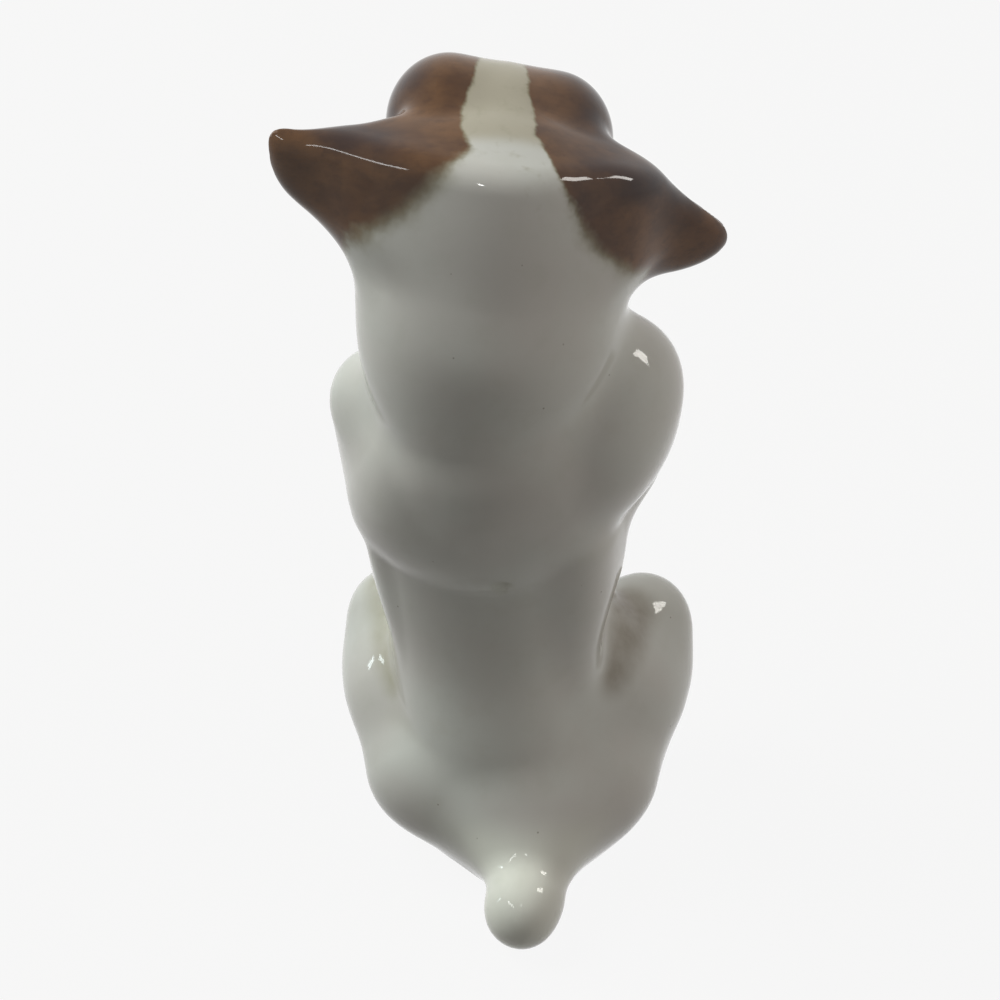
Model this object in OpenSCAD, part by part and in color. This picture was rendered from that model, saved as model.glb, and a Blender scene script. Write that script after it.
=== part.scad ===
// Porcelain dog figurine, sitting up on its haunches with its forelegs raised.
// The figurine is made the way small slip-cast porcelain is made: the trunk and the head are
// hollow castings, the ears, legs, paws and tail are solid castings, and every casting is
// trimmed to the surface it sits on and stuck there with a thin layer of joining slip.
// Millimetres, +Z up, the dog faces +Y and its right side is +X.

/* [Trunk] */
// Width of the foot, where the trunk meets the table
foot_w = 23; // [20:0.5:30]
// Depth of the foot, front to back
foot_d = 27; // [22:0.5:36]
// Height of the widest part of the rump
rump_h = 8; // [6:0.5:12]
// Width of the rump
rump_w = 28.8; // [24:0.2:36]
// Depth of the rump
rump_d = 31; // [26:0.5:38]
// Height of the loin above the rump
loin_rise = 22; // [16:0.5:28]
// Width of the loin
loin_w = 28.4; // [23:0.2:35]
// Depth of the loin
loin_d = 24.4; // [20:0.2:30]
// Height of the waist above the loin
waist_rise = 10; // [8:0.5:14]
// Width of the waist
waist_w = 29.2; // [24:0.2:36]
// Depth of the waist
waist_d = 22.4; // [18:0.2:28]
// Height of the ribs above the waist
rib_rise = 12; // [9:0.5:16]
// Width of the ribs
rib_w = 34; // [28:0.2:41]
// Depth of the ribs
rib_d = 26.8; // [22:0.2:33]
// Height of the shoulders above the ribs
shoulder_rise = 7; // [5:0.5:10]
// Width of the shoulders
shoulder_w = 32.8; // [27:0.2:40]
// Depth of the shoulders
shoulder_d = 26.8; // [22:0.2:33]
// Height of the neck seat above the shoulders
seat_rise = 12; // [9:0.5:15]
// Width of the neck seat
seat_w = 16; // [13:0.5:20]
// Depth of the neck seat
seat_d = 18; // [15:0.5:22]
// Sideways lean of the pelvis, towards the dog's right
pelvis_lean = 2.4; // [0:0.1:4]
// Sideways lean of the ribs, towards the dog's right
rib_lean = -0.6; // [-2:0.1:2]

/* [Head] */
// Height of the head's middle above the shoulders
head_rise = 25; // [20:0.5:30]
// Distance of the head's middle in front of the trunk's middle
head_reach = 4; // [2:0.5:7]
// Sideways place of the head's middle
head_lean = -0.6; // [-3:0.1:3]
// Tilt of the head towards the dog's right shoulder, in degrees
head_roll = 11; // [0:1:16]
// Turn of the head towards the dog's left, in degrees
head_turn = 7; // [-10:1:15]
// Nod of the head, in degrees, negative looks down
head_nod = -3; // [-12:1:10]
// Width of the skull
skull_w = 28.4; // [24:0.2:35]
// Length of the skull, front to back
skull_d = 26; // [22:0.5:32]
// Height of the skull
skull_h = 24; // [20:0.2:29]
// Width of the nape, where the neck widens into the head
nape_w = 27.8; // [23:0.2:33]
// Width of the neck at the withers
neck_w = 18; // [15:0.5:22]
// Radius of each brow
brow_r = 7.6; // [6.2:0.1:9]
// Distance of each brow from the middle of the forehead
brow_out = 5.6; // [4.6:0.1:6.8]
// Radius of each cheek
cheek_r = 6.2; // [5:0.1:7.4]
// Distance of the nose's middle in front of the skull's middle
muzzle_l = 21; // [18:0.5:25]
// Radius of the muzzle at the stop, between the eyes
stop_r = 7; // [5.8:0.1:8.4]
// Radius of the muzzle at the nose
nose_r = 4.6; // [3.8:0.1:5.6]
// Radius of the chin
chin_r = 3.6; // [3:0.1:4.4]

/* [Ears] */
// Length of an ear from its root to the middle of its tip
ear_l = 14.2; // [10:0.2:17]
// Half height of an ear at its root
ear_root_r = 6.6; // [5.4:0.1:8]
// Half height of an ear halfway out
ear_mid_r = 5.2; // [4.2:0.1:6.4]
// Half height of an ear at its tip
ear_tip_r = 2.9; // [2.4:0.1:3.6]
// How many times taller an ear is than it is thick
ear_flatness = 1.8; // [1.4:0.1:2.2]
// Depth of an ear's root inside the side of the skull
ear_inset = 5.2; // [4:0.1:6.4]
// Droop of the left and right ear, in degrees
ear_droop = [-7, 9]; // [-15:1:20]

/* [Forelegs] */
// Radius of the left and right shoulder
shoulder_r = [6.2, 7.2]; // [5:0.1:8.7]
// Radius of the left and right elbow
elbow_r = [5.2, 6.2]; // [4.2:0.1:7.5]
// Lift of the left and right shoulder above the trunk's shoulders
shoulder_lift = [1.8, 3.4]; // [0:0.1:5]
// Distance of the shoulders in from the trunk's sides
shoulder_inset = 3.2; // [2:0.1:5]
// Drop from a shoulder to its elbow
upper_arm_drop = 11.4; // [9:0.2:14]
// Reach of the wrists in front of the elbows
forearm_reach = 15.5; // [12:0.5:19]
// Rise of the wrists above the elbows
forearm_rise = 4; // [0:0.5:8]
// Distance of the wrists from the middle
wrist_out = 8.6; // [7:0.1:11]
// Radius of a wrist
wrist_r = 3.4; // [2.8:0.1:4.2]
// Radius of a forepaw
forepaw_r = 3.9; // [3.2:0.1:4.8]
// Droop of a forepaw below its wrist
forepaw_droop = 5; // [3:0.5:7]

/* [Hind legs] */
// Radius of the left and right hip
hip_r = [9.4, 9]; // [8:0.1:11.3]
// Radius of the left and right knee
knee_r = [6, 6.2]; // [5:0.1:7.5]
// Height of the left and right knee
knee_h = [21.6, 20.3]; // [17:0.1:26]
// Distance of the left and right knee outside the rump's sides
knee_out = [0.8, 1.4]; // [0:0.1:3]
// Distance of the hips in from the rump's sides
hip_inset = 5; // [4:0.1:6.5]
// Height of the hips
hip_h = 9.5; // [8:0.1:11.4]
// Distance of the knees in front of the hips
thigh_reach = 15.5; // [13:0.5:18.6]
// Radius of a hock
hock_r = 4.5; // [3.8:0.1:5.4]
// Distance of the hind paws in from the rump's sides
paw_inset = 4.4; // [3:0.1:6]
// Length of a hind paw, from its heel to its toes
paw_l = 20.5; // [17:0.5:24]
// Radius of a hind paw
paw_r = 4; // [3.4:0.1:4.8]

/* [Tail] */
// Radius of the tail at its root
tail_root_r = 6; // [5:0.1:7.2]
// Radius of the tail's round tip
tail_tip_r = 4.7; // [4:0.1:5.6]
// Length of the tail from its root to the middle of its tip
tail_l = 11.2; // [9:0.2:14]
// Depth of the tail's root inside the back of the rump
tail_inset = 4.5; // [3:0.1:6]

/* [Casting] */
// Wall of the hollow castings
wall = 2.6; // [2:0.1:3.4]
// Thickness of the joining slip
slip_t = 0.4; // [0.3:0.05:0.6]
// Radius of the opening in the foot that the closing slab fills
foot_opening_r = 8.4; // [7:0.1:9.4]
// Thickness of the closing slab
slab_t = 2.6; // [2:0.1:3.4]
// Radius of the firing vent in the slab
vent_r = 1.7; // [1.2:0.1:2.4]
// Radius of the air passage from the trunk into the head
passage_r = 3; // [2:0.1:4]

/* [Hidden] */

glaze_white = [0.86, 0.87, 0.84];
glaze_brown = [0.36, 0.19, 0.09];
bisque = [0.90, 0.88, 0.83];

// Facets of the curved castings
trunk_sides = 30;
trunk_rings = 20;
ear_sides = 16;
ear_rings = 12;
limb_sides = 18;
head_sides = 24;

// How far a cut runs past the surface that it opens
overcut = 1;
// Larger than the figurine in every direction
world = 300;

// The two sides of the dog, as places in the paired sizes
LEFT = 0;
RIGHT = 1;
function sign_of(side) = side == RIGHT ? 1 : -1;

// Heights of the trunk's landmarks above the table
loin_h = rump_h + loin_rise;
waist_h = loin_h + waist_rise;
rib_h = waist_h + rib_rise;
shoulder_h = rib_h + shoulder_rise;
seat_h = shoulder_h + seat_rise;

// Middles of the foot and of the neck seat, seen from above
foot_middle = [pelvis_lean, -1];
seat_middle = [head_lean - 1, -1];

// One row for each section of the trunk: height, middle x, middle y, half width, half depth
trunk_sections = [
    [0, foot_middle[0], foot_middle[1], foot_w / 2, foot_d / 2],
    [rump_h, pelvis_lean, -2, rump_w / 2, rump_d / 2],
    [loin_h, pelvis_lean / 4, -0.3, loin_w / 2, loin_d / 2],
    [waist_h, rib_lean / 2, -0.2, waist_w / 2, waist_d / 2],
    [rib_h, rib_lean, -1.4, rib_w / 2, rib_d / 2],
    [shoulder_h, rib_lean / 2, -1.2, shoulder_w / 2, shoulder_d / 2],
    [seat_h, seat_middle[0], seat_middle[1], seat_w / 2, seat_d / 2]
];

// Smooth curves through the rows of a table whose first column is the height

function slope(rows, i, column) =
    let (before = rows[max(i - 1, 0)], after = rows[min(i + 1, len(rows) - 1)])
    (after[column] - before[column]) / (after[0] - before[0]);

function span_at(rows, z, i = 0) =
    i >= len(rows) - 2 || z <= rows[i + 1][0] ? i : span_at(rows, z, i + 1);

function size_at(rows, z, column) =
    let (
        i = span_at(rows, z),
        rise = rows[i + 1][0] - rows[i][0],
        t = max(0, min(1, (z - rows[i][0]) / rise)),
        leave = slope(rows, i, column) * rise,
        arrive = slope(rows, i + 1, column) * rise
    )
    (2 * t^3 - 3 * t^2 + 1) * rows[i][column] + (t^3 - 2 * t^2 + t) * leave
    + (3 * t^2 - 2 * t^3) * rows[i + 1][column] + (t^3 - t^2) * arrive;

function ring_at(rows, z, grow, n) = [
    for (i = [0 : n - 1])
        let (a = 360 * i / n)
        [
            size_at(rows, z, 1) + (size_at(rows, z, 3) + grow) * cos(a),
            size_at(rows, z, 2) + (size_at(rows, z, 4) + grow) * sin(a),
            z
        ]
];

// Solid between two heights whose sections follow the table, grown outwards by a distance
module lofted(rows, low, high, grow = 0, n = trunk_sides, rings = trunk_rings) {
    points = [
        for (k = [0 : rings])
            each ring_at(rows, low + (high - low) * k / rings, grow, n)
    ];
    bottom = [for (i = [0 : n - 1]) i];
    top = [for (i = [n - 1 : -1 : 0]) rings * n + i];
    sides = [
        for (k = [0 : rings - 1], i = [0 : n - 1])
            let (a = k * n + i, b = k * n + (i + 1) % n)
            each [[a, a + n, b], [b, a + n, b + n]]
    ];
    polyhedron(points = points, faces = concat([bottom, top], sides));
}

// Rounded chains through stations that are each [x, y, z, radius]

function bend(from, through, to, steps) = [
    for (i = [0 : steps])
        let (t = i / steps)
        from * (1 - t)^2 + through * 2 * t * (1 - t) + to * t^2
];

function at_place(station) = [station[0], station[1], station[2]];

module ball(station, grow = 0, sides = limb_sides) {
    translate(at_place(station)) sphere(station[3] + grow, $fn = sides);
}

module chain(stations, grow = 0, sides = limb_sides) {
    for (i = [0 : len(stations) - 2])
        hull() {
            ball(stations[i], grow, sides);
            ball(stations[i + 1], grow, sides);
        }
}

module web(stations, grow = 0, sides = limb_sides) {
    hull() for (station = stations) ball(station, grow, sides);
}

module above(height) {
    intersection() {
        children();
        translate([-world / 2, -world / 2, height]) cube(world);
    }
}

// Trunk, with its foot closed by a slab

module trunk_form(grow = 0) {
    lofted(trunk_sections, grow > 0 ? -overcut : 0, seat_h + grow, grow);
}

module air_passage() {
    translate([seat_middle[0], seat_middle[1], seat_h - wall - overcut])
        cylinder(r = passage_r, h = 2 * wall + slip_t + 2 * overcut, $fn = 48);
}

module foot_disc(r, low, high) {
    translate([foot_middle[0], foot_middle[1], low])
        cylinder(r = r, h = high - low, $fn = 64);
}

module body_casting() {
    color(glaze_white) difference() {
        trunk_form();
        lofted(trunk_sections, slab_t, seat_h - wall, -wall);
        foot_disc(foot_opening_r, -overcut, slab_t + overcut);
        air_passage();
    }
}

slab_r = foot_opening_r - slip_t;

module base_slab() {
    color(bisque) difference() {
        foot_disc(slab_r, 0, slab_t);
        foot_disc(vent_r, -overcut, slab_t + overcut);
    }
}

module base_slip() {
    color(bisque) difference() {
        foot_disc(foot_opening_r, 0, slab_t);
        foot_disc(slab_r, -overcut, slab_t + overcut);
    }
}

// Head and neck

head_middle = [head_lean, head_reach, shoulder_h + head_rise];

// Stations of the neck, from the withers up to the nape
withers = [head_lean - 2.4, head_reach - 8.5, shoulder_h - 3, neck_w / 2];
mid_neck = [head_lean - 1.6, head_reach - 6.5, shoulder_h + 7, neck_w / 2 + 1.5];
nape = [head_lean - 0.9, head_reach - 4.8, shoulder_h + 16, nape_w / 2];
occiput = [head_middle[0], head_middle[1], head_middle[2], skull_h / 2];

// Stations of the face, from the head's middle along the head's own axes
crown = [0, -1, skull_h / 2 - 8, brow_r];
brow = [brow_out, skull_d / 2 - 6.4, skull_h / 2 - 5.4, brow_r];
cheek = [skull_w / 2 - 8, skull_d / 2 - 5.4, -5, cheek_r];
stop = [0, skull_d / 2 - 1.5, -2.6, stop_r];
nose = [0, muzzle_l, -3.6, nose_r];
throat = [0, skull_d / 2 - 4, -7, stop_r - 1];
chin = [0, muzzle_l - 2.6, -7.2, chin_r];

function mirrored(station, s) = [s * station[0], station[1], station[2], station[3]];

module in_head() {
    translate(head_middle) rotate([head_nod, head_roll, head_turn]) children();
}

module skull_and_neck(grow) {
    chain(concat(bend(withers, mid_neck, nape, 4), [occiput]), grow, sides = head_sides);
    in_head() scale([skull_w / 2 + grow, skull_d / 2 + grow, skull_h / 2 + grow])
        sphere(1, $fn = head_sides + 8);
}

module face(grow) {
    in_head() {
        web([crown, mirrored(brow, -1), brow], grow);
        for (s = [-1, 1])
            web([mirrored(brow, s), mirrored(cheek, s), stop], grow);
        chain([stop, nose], grow);
        chain([throat, chin], grow);
    }
}

module head_form(grow = 0) {
    skull_and_neck(grow);
    face(grow);
}

module head_casting() {
    color(glaze_white) difference() {
        head_form();
        trunk_form(slip_t);
        above(seat_h + slip_t + wall) skull_and_neck(-wall);
        air_passage();
    }
}

module neck_slip() {
    color(bisque) difference() {
        intersection() {
            head_form();
            trunk_form(slip_t);
        }
        trunk_form();
        air_passage();
    }
}

// Ears

ear_seat = [skull_w / 2 - ear_inset, -3, 3];
ear_end = ear_l + ear_tip_r * 0.9;

function ear_row(out, drop, r) = [out, drop, 0, r, r / ear_flatness];

// One row for each section of an ear: distance from the root, drop, shift, half height, half thickness
ear_sections = [
    ear_row(0, 0.4, ear_root_r),
    ear_row(ear_l * 0.6, 0.4, ear_mid_r),
    ear_row(ear_l, -0.8, ear_tip_r),
    ear_row(ear_end, -1.2, ear_tip_r * 0.4)
];

module ear_form(side) {
    in_head() mirror([side == LEFT ? 1 : 0, 0, 0])
        translate(ear_seat) rotate([0, 90 + ear_droop[side], 0])
            lofted(ear_sections, 0, ear_end, n = ear_sides, rings = ear_rings);
}

module ear(side) {
    color(glaze_brown) difference() {
        ear_form(side);
        head_form(slip_t);
    }
}

module ear_slip(side) {
    color(bisque) difference() {
        intersection() {
            ear_form(side);
            head_form(slip_t);
        }
        head_form();
    }
}

// Forelegs

module foreleg_form(side) {
    s = sign_of(side);
    joint_x = s * (shoulder_w / 2 - shoulder_inset);
    joint_h = shoulder_h + shoulder_lift[side];
    shoulder = [joint_x, 1.5, joint_h, shoulder_r[side]];
    elbow = [joint_x, 5.5, joint_h - upper_arm_drop, elbow_r[side]];
    forearm = [joint_x, elbow[1], elbow[2], elbow_r[side] - 1];
    wrist = [s * wrist_out, elbow[1] + forearm_reach, elbow[2] + forearm_rise, wrist_r];
    toes = [s * (wrist_out - 1), wrist[1] + 4, wrist[2] - forepaw_droop, forepaw_r];
    chain(bend(shoulder, (shoulder + elbow) / 2 + [s * 0.4, -1, 0, 0], elbow, 3));
    chain(bend(forearm, (forearm + wrist) / 2 - [0, 0, 1, 0.4], wrist, 3));
    chain(bend(wrist, wrist + [0, 3, 0, 0.4], toes, 3));
}

module foreleg_seat(grow) {
    trunk_form(grow);
    head_form(grow);
}

module foreleg(side) {
    color(glaze_white) difference() {
        foreleg_form(side);
        foreleg_seat(slip_t);
    }
}

module foreleg_slip(side) {
    color(bisque) difference() {
        intersection() {
            foreleg_form(side);
            foreleg_seat(slip_t);
        }
        foreleg_seat(0);
        neck_slip();
    }
}

// Haunches

pelvis_y = -4.8;

function beside_rump(side, out) = pelvis_lean + sign_of(side) * (rump_w / 2 + out);

function hip(side) = [beside_rump(side, -hip_inset), pelvis_y, hip_h, hip_r[side]];

function knee(side) = [
    beside_rump(side, knee_out[side]), pelvis_y + thigh_reach, knee_h[side], knee_r[side]
];

function hock(side) = [beside_rump(side, hock_r - paw_inset - paw_r + 1), 1, hock_r, hock_r];

module haunch_form(side, grow = 0) {
    s = sign_of(side);
    thigh = (hip(side) + knee(side)) / 2 + [s * 1, 0, 0, 0.6];
    shin = (knee(side) + hock(side)) / 2 + [s * 0.6, 1, 0, 0.4];
    above(0) {
        chain(bend(hip(side), thigh, knee(side), 5), grow);
        chain(bend(knee(side), shin, hock(side), 3), grow);
    }
}

module haunch(side) {
    color(glaze_white) difference() {
        haunch_form(side);
        trunk_form(slip_t);
    }
}

module haunch_slip(side) {
    color(bisque) difference() {
        intersection() {
            haunch_form(side);
            trunk_form(slip_t);
        }
        trunk_form();
    }
}

// Hind paws

heel_y = 4;
toe_spread = 1.6;

module hind_paw_form(side) {
    s = sign_of(side);
    heel = [beside_rump(side, -paw_inset), heel_y, paw_r, paw_r];
    instep = heel + [s * 0.5, paw_l * 0.8, 0, 0];
    above(0) {
        chain(bend(heel, (heel + instep) / 2, instep, 4));
        for (place = [-1.5 : 1.5]) {
            across = place * toe_spread;
            knuckle = instep + [across * 0.6, 0, 0, -0.6];
            toe = [instep[0] + across, heel_y + paw_l - abs(across) * 0.6, paw_r * 0.8, paw_r * 0.62];
            chain([knuckle, toe]);
        }
    }
}

module hind_paw_seat(side, grow) {
    trunk_form(grow);
    haunch_form(side, grow);
}

module hind_paw(side) {
    color(glaze_white) difference() {
        hind_paw_form(side);
        hind_paw_seat(side, slip_t);
    }
}

module hind_paw_slip(side) {
    color(bisque) difference() {
        intersection() {
            hind_paw_form(side);
            hind_paw_seat(side, slip_t);
        }
        hind_paw_seat(side, 0);
        haunch_slip(side);
    }
}

// Tail

module tail_form() {
    root = [pelvis_lean + 2.2, tail_inset - rump_d / 2 - 2, rump_h, tail_root_r];
    tip = [pelvis_lean + 0.6, root[1] - tail_l, tail_tip_r, tail_tip_r];
    above(0) chain(bend(root, (root + tip) / 2 + [0.4, 0, 0.6, 0], tip, 6));
}

module tail_seat(grow) {
    trunk_form(grow);
    for (side = [LEFT, RIGHT]) haunch_form(side, grow);
}

module tail() {
    color(glaze_white) difference() {
        tail_form();
        tail_seat(slip_t);
    }
}

module tail_slip() {
    color(bisque) difference() {
        intersection() {
            tail_form();
            tail_seat(slip_t);
        }
        tail_seat(0);
        for (side = [LEFT, RIGHT]) haunch_slip(side);
    }
}

body_casting();
base_slab();
base_slip();
head_casting();
neck_slip();
ear(LEFT);  // left_ear
ear(RIGHT);  // right_ear
ear_slip(LEFT);  // left_ear_slip
ear_slip(RIGHT);  // right_ear_slip
foreleg(LEFT);  // left_foreleg
foreleg(RIGHT);  // right_foreleg
foreleg_slip(LEFT);  // left_foreleg_slip
foreleg_slip(RIGHT);  // right_foreleg_slip
haunch(LEFT);  // left_haunch
haunch(RIGHT);  // right_haunch
haunch_slip(LEFT);  // left_haunch_slip
haunch_slip(RIGHT);  // right_haunch_slip
hind_paw(LEFT);  // left_hind_paw
hind_paw(RIGHT);  // right_hind_paw
hind_paw_slip(LEFT);  // left_hind_paw_slip
hind_paw_slip(RIGHT);  // right_hind_paw_slip
tail();
tail_slip();
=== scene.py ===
import math

import bpy
import numpy as np
import openvdb
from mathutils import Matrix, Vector


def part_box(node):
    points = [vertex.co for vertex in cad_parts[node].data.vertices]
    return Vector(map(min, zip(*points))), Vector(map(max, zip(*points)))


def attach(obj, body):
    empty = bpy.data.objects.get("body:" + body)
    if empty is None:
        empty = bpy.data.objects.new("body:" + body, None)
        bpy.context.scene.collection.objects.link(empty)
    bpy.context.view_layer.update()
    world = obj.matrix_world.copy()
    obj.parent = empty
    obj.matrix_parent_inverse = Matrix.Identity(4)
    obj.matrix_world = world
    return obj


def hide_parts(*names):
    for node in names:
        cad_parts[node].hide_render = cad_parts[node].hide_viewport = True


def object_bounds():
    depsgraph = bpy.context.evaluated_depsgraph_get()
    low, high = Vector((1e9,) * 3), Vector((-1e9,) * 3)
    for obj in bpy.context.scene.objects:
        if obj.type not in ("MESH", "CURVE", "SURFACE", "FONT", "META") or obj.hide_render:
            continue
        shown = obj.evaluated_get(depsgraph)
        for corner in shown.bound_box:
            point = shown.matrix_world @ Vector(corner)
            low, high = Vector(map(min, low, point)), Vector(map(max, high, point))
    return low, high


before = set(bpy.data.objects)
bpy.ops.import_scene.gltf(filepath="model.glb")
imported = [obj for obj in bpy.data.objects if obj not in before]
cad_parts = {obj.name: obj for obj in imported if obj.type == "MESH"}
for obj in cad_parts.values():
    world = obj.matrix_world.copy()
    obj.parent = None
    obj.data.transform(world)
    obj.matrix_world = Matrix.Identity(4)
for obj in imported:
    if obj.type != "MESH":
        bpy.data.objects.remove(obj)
cad_low, cad_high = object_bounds()


# Foot slab and its slip
# A round disc of unglazed porcelain closes the open foot of the hollow body. It has a firing
# vent in its middle and is stuck in with a ring of joining slip that was wiped flush. No glaze
# goes on it, so that the figurine doesn't stick to the kiln shelf.

def add_node(tree, kind, inputs, **settings):
    node = tree.nodes.new(kind)
    for key, value in settings.items():
        setattr(node, key, value)
    for key, value in inputs.items():
        if isinstance(value, bpy.types.NodeSocket):
            tree.links.new(value, node.inputs[key])
        else:
            node.inputs[key].default_value = value
    return node


def bare_material(name):
    made = bpy.data.materials.new(name)
    made.use_nodes = True
    made.node_tree.nodes.clear()
    return made, made.node_tree


def new_material(name):
    made, tree = bare_material(name)
    shader = add_node(tree, "ShaderNodeBsdfPrincipled", {})
    add_node(tree, "ShaderNodeOutputMaterial", {"Surface": shader.outputs["BSDF"]})
    place = add_node(tree, "ShaderNodeTexCoord", {}).outputs["Object"]
    return made, tree, shader, place


def noise(tree, place, scale, detail=3.0, roughness=0.55):
    made = add_node(tree, "ShaderNodeTexNoise", {
        "Vector": place, "Scale": scale, "Detail": detail, "Roughness": roughness,
    })
    return made.outputs["Fac"]


def blend_colour(tree, share, first, second):
    made = add_node(tree, "ShaderNodeMix", {
        "Factor": share, "A": first, "B": second,
    }, data_type="RGBA")
    return made.outputs[2]


def ramp(tree, value, low, high, to_low=0.0, to_high=1.0):
    made = add_node(tree, "ShaderNodeMapRange", {
        "Value": value, "From Min": low, "From Max": high, "To Min": to_low, "To Max": to_high,
    }, interpolation_type="SMOOTHSTEP")
    return made.outputs["Result"]


bare_light, bare_shade, kiln_dust = (0.80, 0.77, 0.70, 1), (0.70, 0.66, 0.58, 1), (0.52, 0.46, 0.38, 1)
bare_cloud_scale, grit_scale = 260.0, 5200.0
grit_strength, grit_height = 0.25, 0.0001


def bisque_material():
    made, tree, shader, place = new_material("bisque")
    cloud = noise(tree, place, bare_cloud_scale)
    grit = noise(tree, place, grit_scale, detail=2.0)
    cream = blend_colour(tree, cloud, bare_light, bare_shade)
    dusty = blend_colour(tree, ramp(tree, grit, 0.62, 0.74), cream, kiln_dust)
    tree.links.new(dusty, shader.inputs["Base Color"])
    tree.links.new(ramp(tree, cloud, 0.3, 0.7, 0.72, 0.9), shader.inputs["Roughness"])
    bump = add_node(tree, "ShaderNodeBump", {
        "Height": grit, "Strength": grit_strength, "Distance": grit_height,
    })
    tree.links.new(bump.outputs["Normal"], shader.inputs["Normal"])
    return made


bisque = bisque_material()
for name in ("base_slab", "base_slip"):
    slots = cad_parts[name].data.materials
    slots.clear()
    slots.append(bisque)


# Body
# A hollow slip casting of trunk and shoulders. The shoulders are modelled as a cape of loose
# puppy skin that overhangs the waist in a soft hem, lower on the dog's left. It is dipped in
# clear gloss glaze. Its tail is painted paler, as painted light where light falls on it, and
# its valleys darker, partly glaze that pools there and partly painted shade.

MM = 0.001


def eased(value, low, high):
    """0 below low, 1 above high, and a smooth rise between."""
    t = np.clip((value - low) / (high - low), 0, 1)
    return t * t * (3 - 2 * t)


def falling(value, low, high):
    """1 below low, 0 above high, and a smooth fall between."""
    return eased(-value, -high, -low)


def mixed(pair, share):
    """The first of a pair where share is 0, the second where it is 1."""
    return pair[0] + (pair[1] - pair[0]) * share


def soft_join(first, second, reach):
    """Union of two forms with a fillet as wide as reach, as wet slip leaves in a corner."""
    near = np.maximum(reach - np.abs(first - second), 0) / reach
    return np.minimum(first, second) - near ** 2 * reach / 4


def soft_cut(first, second, reach):
    """Where both forms are, with their edge rounded as if sponged."""
    return -soft_join(-first, -second, reach)


def taper(points, start, end, start_r, end_r):
    """Distance to a round bar that tapers from start_r to end_r."""
    start = np.asarray(start, float)
    along = np.asarray(end, float) - start
    length2 = along @ along
    shrink = start_r - end_r
    slope2 = length2 - shrink ** 2
    out = points - start
    y = out @ along
    z = y - length2
    x2 = ((out * length2 - y[:, None] * along) ** 2).sum(1)
    y2, z2 = y ** 2 * length2, z ** 2 * length2
    k = np.sign(shrink) * shrink ** 2 * x2
    body = (np.sqrt(x2 * slope2 / length2) + y * shrink) / length2 - start_r
    end_cap = np.sqrt(x2 + z2) / length2 - end_r
    start_cap = np.sqrt(x2 + y2) / length2 - start_r
    past_end = np.sign(z) * slope2 * z2 > k
    before_start = np.sign(y) * slope2 * y2 < k
    return np.where(past_end, end_cap, np.where(before_start, start_cap, body))


def egg(points, middle, radii):
    """Distance to an ellipsoid, near enough for blending."""
    out = points - np.asarray(middle, float)
    radii = np.asarray(radii, float)
    k0 = np.linalg.norm(out / radii, axis=1)
    k1 = np.linalg.norm(out / radii ** 2, axis=1)
    return k0 * (k0 - 1) / np.maximum(k1, 1e-9)


def smooth_through(keys, values, wanted):
    """A smooth curve through values at keys, read where it is wanted."""
    slopes = np.gradient(values, keys)
    i = np.clip(np.searchsorted(keys, wanted) - 1, 0, len(keys) - 2)
    rise = keys[i + 1] - keys[i]
    t = np.clip((wanted - keys[i]) / rise, 0, 1)
    return (
        (2 * t ** 3 - 3 * t ** 2 + 1) * values[i] + (t ** 3 - 2 * t ** 2 + t) * slopes[i] * rise
        + (3 * t ** 2 - 2 * t ** 3) * values[i + 1] + (t ** 3 - t ** 2) * slopes[i + 1] * rise
    )


def section_at(wanted, rows):
    """The measures of a section between the given rows, whose first column is the place."""
    return [smooth_through(rows[:, 0], column, wanted) for column in rows.T[1:]]


end_rounding = 2.0


def lofted(points, rows, lean=0.0):
    """Distance to a stack of oval sections. Lean tips the stack's levels towards one side."""
    heights = points[:, 2] - lean * points[:, 0]
    x, y, half_width, half_depth = section_at(heights, rows)
    across = (points[:, 0] - x) / half_width
    deep = (points[:, 1] - y) / half_depth
    side = (np.hypot(across, deep) - 1) * np.minimum(half_width, half_depth)
    ends = np.maximum(heights - rows[-1, 0], rows[0, 0] - heights)
    return soft_cut(side, ends, end_rounding)


# Sections in millimetres: height, middle x, middle y, half width, half depth
loin_rows = np.array([
    (0, 2.4, -1.2, 12.0, 14.3),
    (8, 2.4, -2.0, 14.4, 15.5),
    (20, 0.2, -1.2, 13.1, 13.9),
    (30, -0.7, -0.3, 12.9, 12.2),
    (40, -0.4, -0.4, 15.1, 11.6),
    (52, -0.6, -1.0, 15.0, 12.2),
    (64, -0.8, -1.0, 11.0, 9.5),
])
cape_rows = np.array([
    (44.5, -0.8, -1.0, 11.0, 11.2),
    (48.5, -0.7, -1.2, 15.6, 12.4),
    (53, -0.6, -1.4, 17.0, 13.1),
    (59, -0.3, -1.2, 16.4, 13.3),
    (71, -1.6, -1.0, 8.0, 9.0),
])
cape_lean = 0.15
# The corner under the hem on the left and right, and the x between which it changes
hem_fillets, hem_turn = (1.1, 1.7), (-10.0, 8.0)
# Middle and radii of the breast and the belly, and how far they are filled out
chest, chest_fillet = ((-0.6, 6.0, 57.0), (9.5, 6.6, 12.0)), 5.0
belly, belly_fillet = ((1.0, 5.5, 30.0), (10.5, 7.4, 15.0)), 6.0
# Shoulder blades, left and right, which fill the cape out to the upper arms
blades = (((-10.0, -3.0, 57.0), (5.6, 7.8, 9.0)), ((11.3, -2.5, 60.8), (7.3, 8.3, 9.5)))
blade_fillet = 4.0

# Skin folds that run down from the hem to the flanks: start, end, radii
left_fold = ((-13.2, -5.0, 45.0), (-9.8, -4.6, 26.0), 1.6, 0.8)
right_fold = ((8.8, -7.6, 47.0), (9.4, -4.6, 18.0), 2.0, 1.0)
fold_fillets = (2.2, 5.0)


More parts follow.
